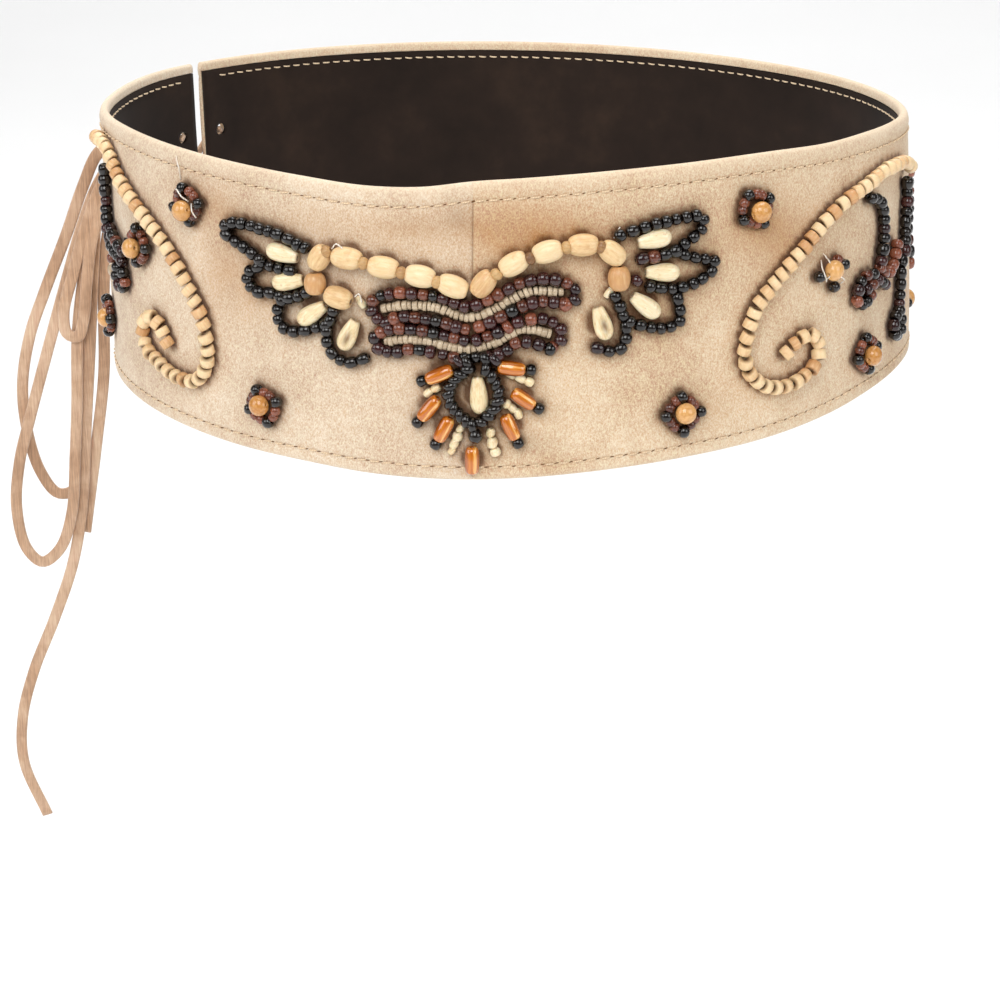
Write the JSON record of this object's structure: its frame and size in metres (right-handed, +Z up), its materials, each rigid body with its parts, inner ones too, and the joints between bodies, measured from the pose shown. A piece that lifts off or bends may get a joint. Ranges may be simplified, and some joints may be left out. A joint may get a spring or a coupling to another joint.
{
  "type": "beaded belt",
  "caption": "Wide suede waist belt with bead embroidery in the shape of wings and scrolls, laced at the left back, worn as a closed ring with long laces hanging from the knot.",
  "frame": {"origin": "centre of the ring that the belt forms, at the level of its lower edge, where it sits round the waist", "axes": "+X towards the wearer's left, on the right of the picture, +Z up, and the front with its seam faces -Y"},
  "size_m": [0.392, 0.2646, 0.3586],
  "materials": {
    "suede": "napped suede, unevenly stained",
    "lining": "matt woven lining",
    "lace": "flat cut suede lace",
    "wood": "polished pale wood",
    "shell": "polished shell or bone",
    "amber_glass": "clear amber glass",
    "black_glass": "glossy opaque glass",
    "brown_glass": "glossy red-brown glass"
  },
  "bodies": {
    "root": {"left_panel": "suede", "right_panel": "suede", "lining": "lining", "lacing": "lace", "lace_short_loop": "lace", "lace_long_loop": "lace", "lace_long_end": "lace", "lace_short_end": "lace", "lace_outer_loop": "lace", "left_oval_1": "wood", "left_oval_2": "wood", "left_oval_3": "wood", "left_oval_4": "wood", "left_oval_5": "wood", "left_oval_6": "wood", "left_oval_7": "wood", "right_oval_1": "wood", "right_oval_2": "wood", "right_oval_3": "wood", "right_oval_4": "wood", "right_oval_5": "wood", "right_oval_6": "wood", "left_shell_1": "shell", "left_shell_2": "shell", "left_shell_3": "shell", "left_shell_4": "shell", "right_shell_1": "shell", "right_shell_2": "shell", "right_shell_3": "shell", "right_shell_4": "shell", "centre_shell": "shell", "glass_left_1": "amber_glass", "glass_left_2": "amber_glass", "glass_left_3": "amber_glass", "glass_centre": "amber_glass", "glass_right_3": "amber_glass", "glass_right_2": "amber_glass", "glass_right_1": "amber_glass", "flower_1": "wood", "flower_2": "wood", "flower_3": "wood", "flower_4": "wood", "flower_5": "wood", "flower_6": "wood", "flower_7": "wood", "flower_8": "wood", "flower_9": "wood", "left_scroll": "wood", "right_scroll": "wood", "left_wing": "black_glass", "right_wing": "black_glass", "centre_ring": "black_glass", "left_pendant": "black_glass", "right_pendant": "black_glass", "right_stem": "black_glass", "right_edge_string": "black_glass", "upper_band": "brown_glass", "lower_band": "brown_glass"}
  },
  "joints": []
}
